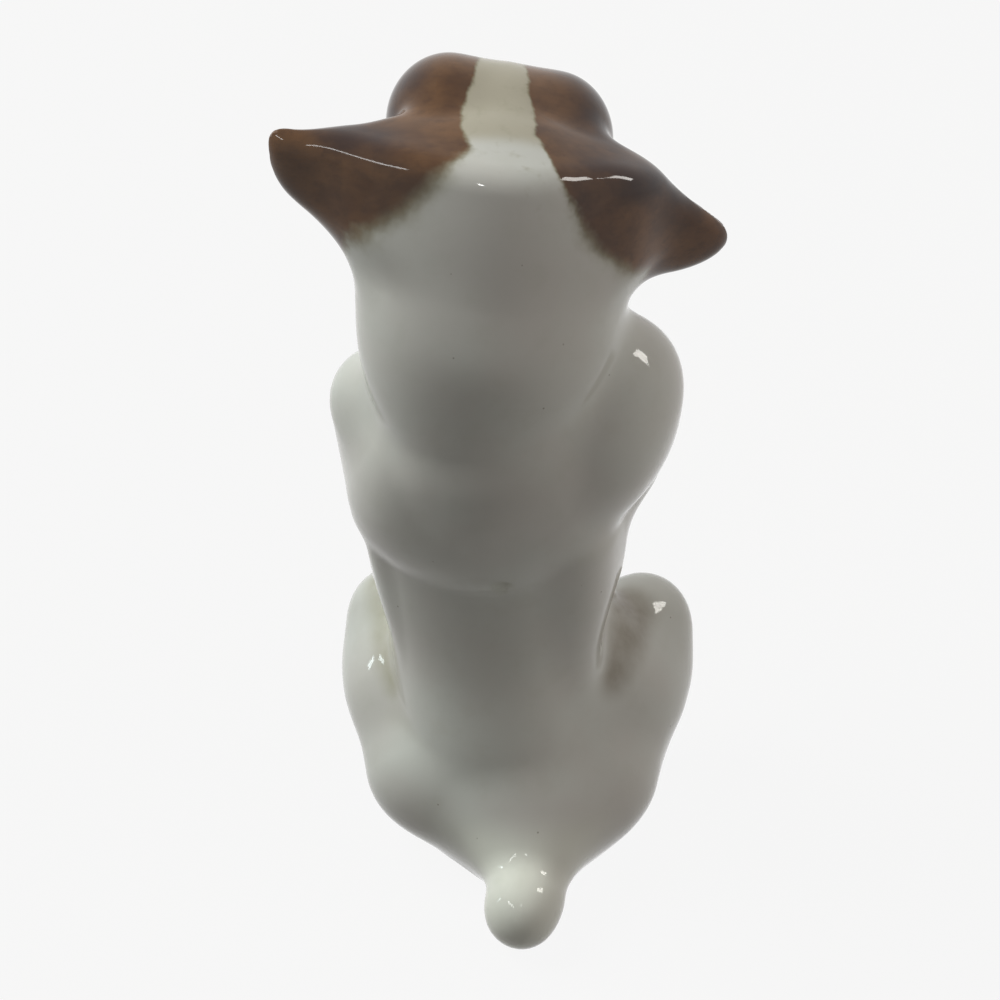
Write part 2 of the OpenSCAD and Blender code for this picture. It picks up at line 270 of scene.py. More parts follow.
def body_form(points):
    loin = soft_join(lofted(points, loin_rows), egg(points, *belly), belly_fillet)
    for fold, fillet in zip((left_fold, right_fold), fold_fillets):
        loin = soft_join(loin, taper(points, *fold), fillet)
    cape = soft_join(lofted(points, cape_rows, cape_lean), egg(points, *chest), chest_fillet)
    for blade in blades:
        cape = soft_join(cape, egg(points, *blade), blade_fillet)
    return soft_join(loin, cape, mixed(hem_fillets, eased(points[:, 0], *hem_turn)))


def maths(tree, operation, *values):
    made = add_node(tree, "ShaderNodeMath", dict(enumerate(values)), operation=operation)
    return made.outputs[0]


def mark_on_skin(tree, name):
    return add_node(tree, "ShaderNodeAttribute", {}, attribute_name=name).outputs["Fac"]


# Colours of the glaze on white: cool, warm, mottled, the paler tail (painted light), and glaze
# pooled with painted shade on the left and, darker, on the right (which change over at the middle
# of the back, in metres), and its specks
cool_white, warm_white = (0.775, 0.785, 0.735, 1), (0.765, 0.745, 0.70, 1)
mottled_white, tail_light_colour = (0.71, 0.705, 0.64, 1), (0.90, 0.905, 0.82, 1)
left_pool_and_shade, right_pool_and_shade, pool_and_shade_turn = (0.46, 0.44, 0.31, 1), (0.29, 0.235, 0.165, 1), (-0.006, 0.006)
speck_colour = (0.30, 0.26, 0.20, 1)
cloud_scale, mottle_scale, speck_scale = 60.0, 320.0, 420.0


def glaze_nodes(tree, place):
    """The colour of clear gloss glaze over white porcelain, its specks, the tail painted paler as
    painted light, and pooled glaze with painted shade in hollows.
    """
    cloud = noise(tree, place, cloud_scale, detail=2.0)
    mottle = noise(tree, place, mottle_scale, detail=4.0)
    body = blend_colour(tree, ramp(tree, cloud, 0.35, 0.65), cool_white, warm_white)
    body = blend_colour(tree, ramp(tree, mottle, 0.45, 0.75, 0.0, 0.35), body, mottled_white)
    # The tail is painted paler: painted light, where light from above falls on it
    body = blend_colour(tree, mark_on_skin(tree, "tail_light"), body, tail_light_colour)
    # Hollows and the valleys by the knees are painted darker, partly pooled glaze and partly painted
    # shade, darker on the right
    streak = ramp(tree, mottle, 0.25, 0.7, 0.7, 1.0)
    depth = maths(tree, "MULTIPLY", mark_on_skin(tree, "pool_and_shade"), streak)
    aside = add_node(tree, "ShaderNodeSeparateXYZ", {"Vector": place}).outputs["X"]
    pool_and_shade_colour = blend_colour(tree, ramp(tree, aside, *pool_and_shade_turn), left_pool_and_shade, right_pool_and_shade)
    pooled_and_shaded = blend_colour(tree, depth, body, pool_and_shade_colour)
    specks = add_node(tree, "ShaderNodeTexVoronoi", {"Vector": place, "Scale": speck_scale})
    grain = add_node(tree, "ShaderNodeSeparateColor", {"Color": specks.outputs["Color"]})
    few = ramp(tree, grain.outputs[0], 0.78, 0.80)
    dot = ramp(tree, specks.outputs["Distance"], 0.03, 0.065, 0.6, 0.0)
    return blend_colour(tree, maths(tree, "MULTIPLY", few, dot), pooled_and_shaded, speck_colour)


# The fired surface: scales, strengths and heights in metres of its unevenness
smear_scale, smear_roughness = 120.0, (0.04, 0.09)
ripple_scale, ripple_strength, ripple_height = 190.0, 0.025, 0.0008
peel_scale, peel_strength, peel_height = 2400.0, 0.012, 0.0001
glaze_ior = 1.52
white_gloss = 0.28


def gloss(tree, shader, place, level):
    """Surface of the fired glaze: smooth, with a faint ripple and a fine orange peel."""
    ripple = noise(tree, place, ripple_scale, detail=1.0)
    peel = noise(tree, place, peel_scale, detail=1.0)
    smear = noise(tree, place, smear_scale)
    tree.links.new(ramp(tree, smear, 0.3, 0.75, *smear_roughness), shader.inputs["Roughness"])
    wave = add_node(tree, "ShaderNodeBump", {
        "Height": ripple, "Strength": ripple_strength, "Distance": ripple_height,
    })
    bump = add_node(tree, "ShaderNodeBump", {
        "Height": peel, "Strength": peel_strength, "Distance": peel_height,
        "Normal": wave.outputs["Normal"],
    })
    tree.links.new(bump.outputs["Normal"], shader.inputs["Normal"])
    shader.inputs["IOR"].default_value = glaze_ior
    shader.inputs["Specular IOR Level"].default_value = level


def white_glaze_material():
    made, tree, shader, place = new_material("white_glaze")
    tree.links.new(glaze_nodes(tree, place), shader.inputs["Base Color"])
    gloss(tree, shader, place, white_gloss)
    return made


pieces, forms, fillets = {}, {}, {}
clearance = 14.0


def casting(name, form, fillet, glaze, slot, *nodes):
    """A piece that stands for these nodes. Its mesh comes when the dog is put together."""
    corners = np.array([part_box(node) for node in nodes]) / MM
    low, high = corners[:, 0].min(0) - clearance, corners[:, 1].max(0) + clearance

    def form_where_near(points):
        outside = np.maximum(low - points, points - high).max(1)
        distance = outside + clearance
        inside = outside < 0
        distance[inside] = form(points[inside])
        return distance

    piece = bpy.data.objects.new("glazed_" + name, bpy.data.meshes.new("glazed_" + name))
    bpy.context.scene.collection.objects.link(piece)
    piece.data.materials.append(glaze)
    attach(piece, "root")
    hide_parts(*nodes)
    pieces[name], forms[name], fillets[name] = piece, form_where_near, fillet


white_glaze = white_glaze_material()
casting("body", body_form, None, white_glaze, "white_glaze", "body_casting")


# Head and neck
# A second hollow casting with the skull, brows, cheeks, muzzle and a broad nape that runs down
# into the shoulders. It is luted on tilted to the dog's right and turned to its left. The brows
# and the skin round the eyes are brushed with brown under the glaze, with a white blaze between.

head_middle = np.array([-0.6, 4.0, 84.0])
head_nod, head_roll, head_turn = np.radians((-3.0, 11.0, 7.0))


def turning(nod, roll, turn):
    about_x = np.array([
        [1, 0, 0],
        [0, math.cos(nod), -math.sin(nod)],
        [0, math.sin(nod), math.cos(nod)],
    ])
    about_y = np.array([
        [math.cos(roll), 0, math.sin(roll)],
        [0, 1, 0],
        [-math.sin(roll), 0, math.cos(roll)],
    ])
    about_z = np.array([
        [math.cos(turn), -math.sin(turn), 0],
        [math.sin(turn), math.cos(turn), 0],
        [0, 0, 1],
    ])
    return about_z @ about_y @ about_x


head_axes = turning(head_nod, head_roll, head_turn)


def in_head(points):
    """Points along the head's own axes: to its right, forwards and up."""
    return (points - head_middle) @ head_axes


# Sections of the nape in millimetres: height, middle x, middle y, half width, half depth
nape_rows = np.array([
    (42, -2.2, -3.0, 4.0, 5.5),
    (51, -2.4, -4.6, 6.0, 7.4),
    (60, -2.3, -4.3, 10.6, 10.2),
    (67, -1.9, -3.0, 13.4, 12.1),
    (74, -1.2, -1.6, 14.5, 13.4),
    (81, -0.9, 0.4, 14.4, 12.8),
    (88, -0.6, 2.0, 13.6, 11.6),
    (94, -0.4, 3.2, 12.0, 10.8),
])
nape_lean = -0.19
# Towards the crown the nape draws out to both sides, as a wedge that runs on into the ears:
# how its back bends, its slope, its reach and the heights where it starts
wedge_bend, wedge_slope, wedge_reach, wedge_heights = 6.5, 0.6, 17.0, (78.5, 84.5)
# Its front near the middle and at the tips, where that changes, and its rounded edge and tips
wedge_fronts, wedge_front_turn, wedge_edge, wedge_tip = (2.2, 0.4), (9.0, 15.0), 1.5, 5.0
# The crest falls away faster to the left ear than to the right
crest_falls, crest_round = (0.0108, 0.0065), 2.3


def nape_form(points):
    heights = points[:, 2] - nape_lean * points[:, 0]
    x, y, half_width, half_depth = section_at(heights, nape_rows)
    right, ahead = points[:, 0] - x, points[:, 1] - y
    across = right * math.cos(head_turn) + ahead * math.sin(head_turn)
    deep = ahead * math.cos(head_turn) - right * math.sin(head_turn)
    oval = (np.hypot(across / half_width, deep / half_depth) - 1) * np.minimum(half_width, half_depth)
    fall = wedge_slope * wedge_bend * (np.hypot(1, across / wedge_bend) - 1)
    back = (fall - half_depth - deep) / math.hypot(1, wedge_slope)
    front = mixed(wedge_fronts, eased(np.abs(across), *wedge_front_turn))
    wedge = soft_cut(back, deep - front, wedge_edge)
    wedge = soft_cut(wedge, np.abs(across) - wedge_reach, wedge_tip)
    drawn = eased(heights, *wedge_heights)
    side = oval * (1 - drawn) + wedge * drawn
    crest = heights - nape_rows[-1, 0] + np.where(across < 0, *crest_falls) * across ** 2
    ends = np.maximum(crest, nape_rows[0, 0] - heights)
    return soft_cut(side, ends, crest_round)


SIDES = (-1, 1)
# Parts of the face along the head's own axes: middle and radii, or the ends of a bar and its
# radii. What lies at both sides is given for the right, apart from the brows.
skull = ((0, 0, -0.5), (14.2, 13.0, 12.0))
forehead = ((0.4, 6.4, 6.3), (6.8, 8.2, 7.6))
brow_places, brow_radii = {-1: (-5.5, 6.6, 6.7), 1: (6.1, 6.6, 6.2)}, (6.8, 8.0, 7.4)
cheek_place, cheek_radii = (7.4, 8.4, -5.0), (6.0, 6.4, 6.2)
muzzle = ((0, 11.5, -2.6), (0, 20.2, -3.2), 7.0, 4.3)
flew_place, flew_radii = (2.5, 19.4, -4.6), (3.1, 4.6, 3.4)
jaw = ((0, 9.0, -7.4), (0, 17.8, -8.0), 5.6, 3.0)
nose = ((0, 23.8, -1.3), (2.5, 1.5, 1.7))
eye_place, eye_radii = (6.2, 13.2, 1.6), np.array((2.1, 1.6, 2.1))
socket_ahead, socket_room = (0, 0.9, 0), 0.5
# How far each is filled or rounded where it meets the rest
face_fillets = {
    "nape": 4.0, "brow": 2.0, "cheek": 3.0, "forehead": 2.5, "muzzle": 3.5,
    "jaw": 1.0, "flew": 1.2, "nose": 0.5, "socket": 1.0, "eye": 0.3,
}


def at_side(place, side):
    return np.array(place) * (side, 1, 1)


def skull_form(points):
    local = in_head(points)
    form = soft_join(egg(local, *skull), nape_form(points), face_fillets["nape"])
    for side in SIDES:
        form = soft_join(form, egg(local, brow_places[side], brow_radii), face_fillets["brow"])
        cheek = egg(local, at_side(cheek_place, side), cheek_radii)
        form = soft_join(form, cheek, face_fillets["cheek"])
    form = soft_join(form, egg(local, *forehead), face_fillets["forehead"])
    form = soft_join(form, taper(local, *muzzle), face_fillets["muzzle"])
    form = soft_join(form, taper(local, *jaw), face_fillets["jaw"])
    for side in SIDES:
        flew = egg(local, at_side(flew_place, side), flew_radii)
        form = soft_join(form, flew, face_fillets["flew"])
    form = soft_join(form, egg(local, *nose), face_fillets["nose"])
    for side in SIDES:
        eye = at_side(eye_place, side)
        socket = egg(local, eye + socket_ahead, eye_radii + socket_room)
        form = soft_cut(form, -socket, face_fillets["socket"])
        form = soft_join(form, egg(local, eye, eye_radii), face_fillets["eye"])
    return form


# The corner at the neck, crisp and soft, and the heights and the y where it changes
neck_fillets = (2.0, 4.5)
nape_fades_in, nape_fades_out, nape_fades_behind = (47.0, 57.0), (58.0, 66.0), (-14.0, -9.0)


def neck_fillet(points):
    """Crisp where the neck passes the shoulders, soft where the nape fades into the back."""
    low = falling(points[:, 2], *nape_fades_out) * eased(points[:, 2], *nape_fades_in)
    return mixed(neck_fillets, falling(points[:, 1], *nape_fades_behind) * low)


# Edges of the white blaze: degrees round the head from the nose over the crown, left x, right x
blaze_rows = np.array([
    (-60, -30.0, 30.0),
    (20, -2.8, 2.8),
    (45, -2.9, 2.2),
    (64, -3.4, 1.9),
    (82, -4.9, 1.7),
    (96, -5.8, 2.1),
    (114, -6.1, 1.8),
    (127, -5.4, 2.8),
    (135, -7.0, 3.4),
    (140, -8.3, 3.9),
    (150, -9.9, 5.7),
    (160, -11.6, 7.3),
    (170, -13.2, 9.4),
    (179, -15.2, 12.3),
    (197, -17.2, 17.0),
    (220, -22.0, 22.0),
    (300, -30.0, 30.0),
])
# White parts of the face: the muzzle, round a height, and what lies below a line on the cheek
# that rises forwards from a start. They end at these y, and behind that they don't count.
muzzle_z, muzzle_white_r, muzzle_ends = -3.0, 6.0, (4.0, 11.0)
cheek_line_z, cheek_line_rise, cheek_line_start, cheek_ends = -4.0, 0.3, 6.0, (-3.0, 3.0)
not_counted = 30.0
# The wash to the nape: degrees where it thins out, how much earlier it does on the right and on
# the left of these x, and how soft the brush's edge is without and with it
wash_degrees, wash_early, wash_turn = (142.0, 178.0), (6.0, 24.0), (-4.0, 1.0)
brush_softness = (0.6, 4.4)
# Where the brown of the ears begins, outwards and upwards
ears_begin, ears_bottom = (15.0, 18.0), (-8.5, -6.0)


def brushed_brown(points):
    """How far the brown brush went, 1 on the patches and 0 on the white, and its wash."""
    x, y, z = in_head(points).T
    first = blaze_rows[0, 0]
    round_head = (np.degrees(np.arctan2(z, y)) - first) % 360 + first
    left, right = (np.interp(round_head, blaze_rows[:, 0], edge) for edge in blaze_rows.T[1:])
    beyond = np.where(x < (left + right) / 2, left - x, x - right)
    off_muzzle = np.hypot(x, z - muzzle_z) - muzzle_white_r + not_counted * falling(y, *muzzle_ends)
    over_cheek = z - cheek_line_z - cheek_line_rise * np.maximum(y - cheek_line_start, 0)
    over_cheek = over_cheek + not_counted * falling(y, *cheek_ends)
    depth = np.minimum(np.minimum(beyond, off_muzzle), over_cheek)
    early = mixed(wash_early, falling(x, *wash_turn))
    wash = eased(round_head, wash_degrees[0] - early, wash_degrees[1] - early)
    softness = mixed(brush_softness, wash)
    on_ears = eased(np.abs(x), *ears_begin) * eased(z, *ears_bottom)
    return np.maximum(eased(depth, -softness, softness), on_ears), wash * (1 - on_ears)


# Degrees round the head where the beige on the blaze starts and ends
tan_starts, tan_ends = (25.0, 55.0), (112.0, 130.0)


def tanned(points):
    """The front of the blaze, before the crown, tinted beige."""
    local = in_head(points)
    round_head = np.degrees(np.arctan2(local[:, 2], local[:, 1]))
    return falling(round_head, *tan_ends) * eased(round_head, *tan_starts)


# Colours of the paint: dark and light dabs, bristle marks, darker paint (with painted shade in
# the creases), where the brush left least, the beige on the blaze, and the black of the eyes and
# the nose
dark_dab, light_dab = (0.120, 0.050, 0.017, 1), (0.215, 0.099, 0.035, 1)
bristle_mark, darker_paint_and_crease_shade = (0.070, 0.029, 0.012, 1), (0.045, 0.022, 0.019, 1)
thin_paint, blaze_beige = (0.38, 0.35, 0.235, 1), (0.53, 0.48, 0.365, 1)
black_paint = (0.014, 0.011, 0.010, 1)
brush_stretch = (0.7, 1.0, 1.2)
bristle_scale, dab_scale, wisp_scale = 900.0, 190.0, 620.0
noise_middle = 0.5
painted_gloss = 0.3


def painted_glaze_material():
    made, tree, shader, place = new_material("painted_glaze")
    stretched = add_node(tree, "ShaderNodeMapping", {"Vector": place, "Scale": brush_stretch}).outputs[0]
    bristle = noise(tree, stretched, bristle_scale)
    dab = noise(tree, stretched, dab_scale)
    wisp = noise(tree, place, wisp_scale, detail=2.0)
    tan_share = ramp(tree, mark_on_skin(tree, "tan"), 0.0, 1.0, 0.0, 0.9)
    white = blend_colour(tree, tan_share, glaze_nodes(tree, place), blaze_beige)
    tone = blend_colour(tree, ramp(tree, dab, 0.35, 0.68), dark_dab, light_dab)
    tone = blend_colour(tree, ramp(tree, bristle, 0.45, 0.75, 0.0, 0.35), tone, bristle_mark)
    uneven = ramp(tree, dab, 0.25, 0.7, 1.0, 0.55)
    # Darker at the temples, the ear rims and in hollows; in the hollows it is painted shade
    darker_share = maths(tree, "MULTIPLY", mark_on_skin(tree, "dark"), uneven)
    tone = blend_colour(tree, darker_share, tone, darker_paint_and_crease_shade)
    ragged = maths(tree, "ADD", wisp, -noise_middle)
    feather = ramp(tree, mark_on_skin(tree, "wash"), 0.0, 1.0, 0.95, 0.25)
    edge = maths(tree, "MULTIPLY_ADD", ragged, feather, mark_on_skin(tree, "brown"))
    thin = blend_colour(tree, ramp(tree, edge, 0.02, 0.6), white, thin_paint)
    painted = blend_colour(tree, ramp(tree, edge, 0.2, 0.78), thin, tone)
    ink_share = ramp(tree, mark_on_skin(tree, "ink"), 0.35, 0.65)
    inked_in = blend_colour(tree, ink_share, painted, black_paint)
    tree.links.new(inked_in, shader.inputs["Base Color"])
    gloss(tree, shader, place, painted_gloss)
    return made


painted_glaze = painted_glaze_material()


# Ears
# Two thick solid flaps, pressed in a mould and luted to the sides of the skull. Each has a flat
# folded top and a blunt tip, its back runs smoothly into the nape, and it is brushed brown all
# over. The right one hangs lower.

# Edges of the flap: a point to the head's right and up, the way the edge faces in degrees, and
# how far it is rounded into the edge before it
ear_edges = {
    -1: (
        (-16.2, 7.4, 90.0, 0.0),
        (-25.2, 3.2, 194.0, 2.5),
        (-20.5, -1.6, 243.0, 3.0),
    ),
    1: (
        (10.0, 8.2, 90.0, 0.0),
        (19.0, 5.8, 62.0, 3.0),
        (25.8, -2.0, -34.0, 4.0),
        (23.1, -4.2, -88.0, 5.0),
    ),
}
# Distance out from the head's middle, middle of the flap forwards, half its thickness
ear_rows = np.array([
    (8.0, -4.2, 3.6),
    (13.0, -3.6, 3.2),
    (17.0, -2.7, 2.4),
    (21.0, -2.1, 1.9),
    (26.0, -1.7, 1.5),
])
ear_crown = 3.0
ear_root, ear_root_round = 9.0, 5.0
ear_hollow, ear_hollow_edge = ((17.0, 2.0, 2.4), (6.0, 2.6, 3.2)), 1.4
# The luted corner before and behind the ear, and the y between which it changes
ear_fillets, ear_fillet_turn = (4.4, 4.2), (-6.0, -2.0)
# The ear's own part of the head: from this far out, this far round its outline and up to this y
ear_seam, ear_seam_room, ear_front = 11.5, 1.0, 3.0
no_edge_yet = -99.0


def ear_outline(local, side):
    outline = np.full(len(local), no_edge_yet)
    for x, z, faces, rounding in ear_edges[side]:
        angle = math.radians(faces)
        edge = (local[:, 0] - x) * math.cos(angle) + (local[:, 2] - z) * math.sin(angle)
        outline = soft_cut(outline, edge, rounding) if rounding else np.maximum(outline, edge)
    return outline


def flap_form(local, side):
    out = side * local[:, 0]
    middle, half = section_at(out, ear_rows)
    thick = np.abs(local[:, 1] - middle) - half
    flap = soft_cut(ear_outline(local, side), thick, ear_crown)
    flap = soft_cut(flap, -egg(at_side(local, side), *ear_hollow), ear_hollow_edge)
    return soft_cut(flap, ear_root - out, ear_root_round)


def head_form(points):
    """Skull, nape and both ears, with the luted corners filled."""
    local = in_head(points)
    form = skull_form(points)
    reach = mixed(ear_fillets, falling(local[:, 1], *ear_fillet_turn))
    for side in SIDES:
        form = soft_join(form, flap_form(local, side), reach)
    return form


def ear_form(side):
    def form(points):
        local = in_head(points)
        beside = np.maximum(ear_outline(local, side) - ear_seam_room, ear_seam - side * local[:, 0])
        return np.maximum(head_form(points), np.maximum(beside, local[:, 1] - ear_front))
    return form


def pair_of_castings(kind, form_of_side, fillet, glaze, slot):
    """The left and the right casting of a kind, each with the slip under it."""
    for side, word in zip(SIDES, ("left_", "right_")):
        name = word + kind
        casting(name, form_of_side(side), fillet, glaze, slot, name, name + "_slip")


casting("head", head_form, neck_fillet, painted_glaze, "white_glaze", "head_casting", "neck_slip")
pair_of_castings("ear", ear_form, None, painted_glaze, "brown_glaze")


# Forelegs
# Two solid castings of upper arm, forearm and paw, held up in front of the chest as a begging
# dog holds them. Each is luted to the shoulder, and the paws hang from the wrists.

# Shoulder, elbow, wrist and toes: x, y, z and radius
foreleg_stations = {
    -1: (
        (-13.0, 1.5, 61.0, 6.4),
        (-12.4, 6.0, 49.0, 5.2),
        (-8.7, 21.0, 54.0, 3.3),
        (-7.8, 24.6, 49.4, 3.2),
    ),
    1: (
        (13.0, 1.5, 64.0, 7.4),
        (13.0, 5.5, 51.5, 6.2),
        (8.5, 21.0, 55.0, 3.3),
        (7.6, 24.6, 50.4, 3.2),
    ),
}
forearm_thinning = 1.0
bend_fillet = 2.0
toe_spread = (-2.5, -0.85, 0.85, 2.5)
# Toes: radius and how much it thins, where they start from the paw's end, their length, how
# much shorter the outer ones are for each millimetre out, and the corner between them
foretoe_r, foretoe_thinning, foretoe_start = 1.25, 0.1, (0, 0.7, 0.3)
foretoe_length, foretoe_shorter, foretoe_fillet = 2.4, 0.22, 0.6


def limb(points, start, end):
    """A tapered bar between two stations."""
    return taper(points, start[:3], end[:3], start[3], end[3])


def foreleg_form(side):
    shoulder, elbow, wrist, toes = foreleg_stations[side]
    forearm = (*elbow[:3], elbow[3] - forearm_thinning)
    wrist_place, toes_place = np.array(wrist[:3]), np.array(toes[:3])
    along = (toes_place - wrist_place) / np.linalg.norm(toes_place - wrist_place)

    def form(points):
        leg = soft_join(limb(points, shoulder, elbow), limb(points, forearm, wrist), bend_fillet)
        leg = soft_join(leg, limb(points, wrist, toes), bend_fillet)
        for offset in toe_spread:
            start = toes_place + (offset, 0, 0) + foretoe_start
            tip = start + along * (foretoe_length - foretoe_shorter * abs(offset))
            toe = taper(points, start, tip, foretoe_r, foretoe_r - foretoe_thinning)
            leg = soft_join(leg, toe, foretoe_fillet)
        return leg
    return form


# The corner in front, how much wider it is behind on the left and right, and the x and y
# between which it changes
foreleg_crisp, foreleg_wider = 2.5, (1.0, 2.4)
foreleg_turn, foreleg_behind = (-6.0, 6.0), (3.0, 9.0)


def foreleg_fillet(points):
    """Crisp in front, soft where the upper arm runs into the shoulder blade."""
    wider = mixed(foreleg_wider, eased(points[:, 0], *foreleg_turn))
    return foreleg_crisp + wider * falling(points[:, 1], *foreleg_behind)


pair_of_castings("foreleg", foreleg_form, foreleg_fillet, white_glaze, "white_glaze")


# Haunches
# Two solid castings of thigh and shin, folded as the dog sits. Their lower ends run into the
# rump without a seam. A groove parts each knee from the flank, on the right half filled by skin.

# Hip, knee, shin and hock: x, y, z and radius
haunch_stations = {
    -1: (
        (-7.8, -5.2, 11.2, 9.0),
        (-13.2, 10.2, 22.6, 6.1),
        (-12.8, 8.8, 16.0, 6.5),
        (-9.2, 1.0, 5.0, 4.5),
    ),
    1: (
        (10.6, -4.6, 10.4, 8.8),
        (18.2, 10.5, 21.2, 6.2),
        (17.4, 9.0, 15.0, 6.6),
        (14.0, 1.0, 5.0, 4.5),
    ),
}
thigh_fullness = 0.6
# Skin between knee and flank, drawn tight on the dog's right: middle, radii
webs = {-1: ((-11.4, 3.5, 18.0), (3.6, 4.5, 6.0)), 1: ((13.2, 2.6, 21.2), (4.4, 7.2, 7.5))}
thigh_fillet, shin_fillet, web_fillet = 3.0, 5.0, 6.0


def haunch_form(side):
    hip, knee, shin, hock = haunch_stations[side]
    middle = (np.array(hip) + knee) / 2 + (side * thigh_fullness, 0, 0, 0)

    def form(points):
        thigh = soft_join(limb(points, hip, middle), limb(points, middle, knee), thigh_fillet)
        leg = soft_join(thigh, limb(points, shin, hock), shin_fillet)
        return soft_join(leg, egg(points, *webs[side]), web_fillet)
    return form


# The groove beside the knee, how much wider it is on the right and low down, and the x and z
# between which it changes
haunch_crisp, haunch_wider_right, haunch_wider_low = 2.2, 2.2, 2.6
haunch_turn, haunch_low = (0.0, 8.0), (8.0, 20.0)


def haunch_fillet(points):
    """A groove beside the knee that opens out and fades towards the rump."""
    wider = haunch_wider_right * eased(points[:, 0], *haunch_turn)
    return haunch_crisp + wider + haunch_wider_low * falling(points[:, 2], *haunch_low)


pair_of_castings("haunch", haunch_form, haunch_fillet, white_glaze, "white_glaze")


# Hind paws
# Two long solid castings that lie flat on the table in front of the rump, with four toes each.

paw_middle_x, paw_spread = 2.2, 10.0
# Instep and ball, each with its y and z, its radii and how far it turns out
instep_start, instep_end, instep_radii, instep_out = (4.0, 4.2), (20.0, 3.8), (4.0, 3.9), 0.5
ball_place, ball_radii, ball_out, ball_fillet = (22.4, 3.6), (4.5, 4.4, 3.7), 0.7, 2.0
# Toes: radius and how much it thins, y and z of their start and end, how much wider they lie
# than those of the forepaw, how they splay, and how much shorter the outer ones are
hindtoe_r, hindtoe_thinning, hindtoe_start, hindtoe_end = 1.55, 0.2, (23.2, 2.9), (27.0, 2.0)
hindtoe_wider, hindtoe_splay, hindtoe_shorter, hindtoe_fillet = 1.18, 0.1, 0.32, 0.7
hind_paw_fillet = 2.0


def hind_paw_form(side):
    x = paw_middle_x + side * paw_spread
    ball_x = x + side * ball_out

    def form(points):
        instep_tip = (x + side * instep_out, *instep_end)
        instep = taper(points, (x, *instep_start), instep_tip, *instep_radii)
        paw = soft_join(instep, egg(points, (ball_x, *ball_place), ball_radii), ball_fillet)
        for offset in toe_spread:
            across = ball_x + offset * hindtoe_wider
            ahead = hindtoe_end[0] - hindtoe_shorter * abs(offset)
            tip = (across + offset * hindtoe_splay, ahead, hindtoe_end[1])
            toe = taper(points, (across, *hindtoe_start), tip, hindtoe_r + hindtoe_thinning, hindtoe_r)
            paw = soft_join(paw, toe, hindtoe_fillet)
        return paw
    return form


pair_of_castings("hind_paw", hind_paw_form, hind_paw_fillet, white_glaze, "white_glaze")


# Tail
# A short solid casting with a round tip that rests on the table and helps the dog to stand.

tail_stem = ((3.2, -12.0, 8.4), (3.6, -20.8, 5.0), 7.0, 4.2)
tail_ball = ((2.6, -23.9, 4.8), (4.5, 4.7, 4.8))
tail_tip_fillet, tail_root_fillet = 2.4, 5.6


def tail_form(points):
    return soft_join(taper(points, *tail_stem), egg(points, *tail_ball), tail_tip_fillet)


casting("tail", tail_form, tail_root_fillet, white_glaze, "white_glaze", "tail", "tail_slip")


# Putting together and glazing
# The castings are luted, the corners are filled with slip and sponged smooth, and one coat of
# glaze covers all of them. So the skin is made whole, then parted along the luted seams, and
# each part is closed where it was stuck on.

slip_low, slip_high = (np.array(corner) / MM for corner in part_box("base_slip"))
foot_x, foot_y = (slip_low[:2] + slip_high[:2]) / 2
foot_r = (slip_high[0] - slip_low[0]) / 2
foot_room = 0.1
foot_depth = slip_high[2] + foot_room
foot_edge = 0.8


def skin(points):
    surface = np.full(len(points), np.inf)
    for name, fillet in fillets.items():
        form = forms[name](points)
        if fillet is None:
            surface = np.minimum(surface, form)
        else:
            surface = soft_join(surface, form, fillet(points) if callable(fillet) else fillet)
    surface = soft_cut(surface, -points[:, 2], foot_edge)
    hole = np.hypot(points[:, 0] - foot_x, points[:, 1] - foot_y) - foot_r
    hole = np.maximum(hole, points[:, 2] - foot_depth)
    return np.maximum(surface, -hole)


# The skin is sampled in cells of this many millimetres, first one sample for each block of
# cells, and then every cell of the blocks whose sample lies within this share of a block
cell, block, near_share = 0.4, 4, 1.3
margin = 2.0


def grid_steps(*counts):
    steps = [np.arange(count) for count in counts]
    return np.stack(np.meshgrid(*steps, indexing="ij"), -1).reshape(-1, 3)


def skin_mesh():
    """Points and four-cornered faces of the whole skin, in millimetres."""
    low = np.array(cad_low) / MM - margin
    high = np.array(cad_high) / MM + margin
    blocks = np.ceil((high - low) / (cell * block)).astype(int)
    corners = grid_steps(*blocks) * block
    rough = skin(low + (corners + (block - 1) / 2) * cell)
    fine = rough.reshape(blocks)
    for axis in range(3):
        fine = np.repeat(fine, block, axis)
    near = corners[np.abs(rough) < cell * block * near_share]
    places = (near[:, None] + grid_steps(block, block, block)[None]).reshape(-1, 3)
    fine[tuple(places.T)] = skin(low + places * cell)
    volume = openvdb.FloatGrid(margin)
    volume.copyFromArray(fine.astype(np.float32))
    points, faces = volume.convertToQuads()
    return low + points.astype(float) * cell, faces.astype(np.int64)


def slope_of_skin(points, step=0.02):
    corners = np.array([(1, 1, 1), (1, -1, -1), (-1, 1, -1), (-1, -1, 1)])
    return sum(skin(points + step * k)[:, None] * k for k in corners) / (4 * step)


flattest_slope2 = 0.05


def settle(points, rounds=2):
    """Moves points onto the skin, along its slope."""
    for _ in range(rounds):
        slope = slope_of_skin(points)
        length2 = np.maximum((slope ** 2).sum(1), flattest_slope2)
        points = points - np.clip(skin(points) / length2, -cell, cell)[:, None] * slope
    return points


# Where two pieces lie equally near the later one has the point, and a seam crosses an edge
# no nearer to its ends than this
tie_break = 1e-4
seam_range = (0.2, 0.8)


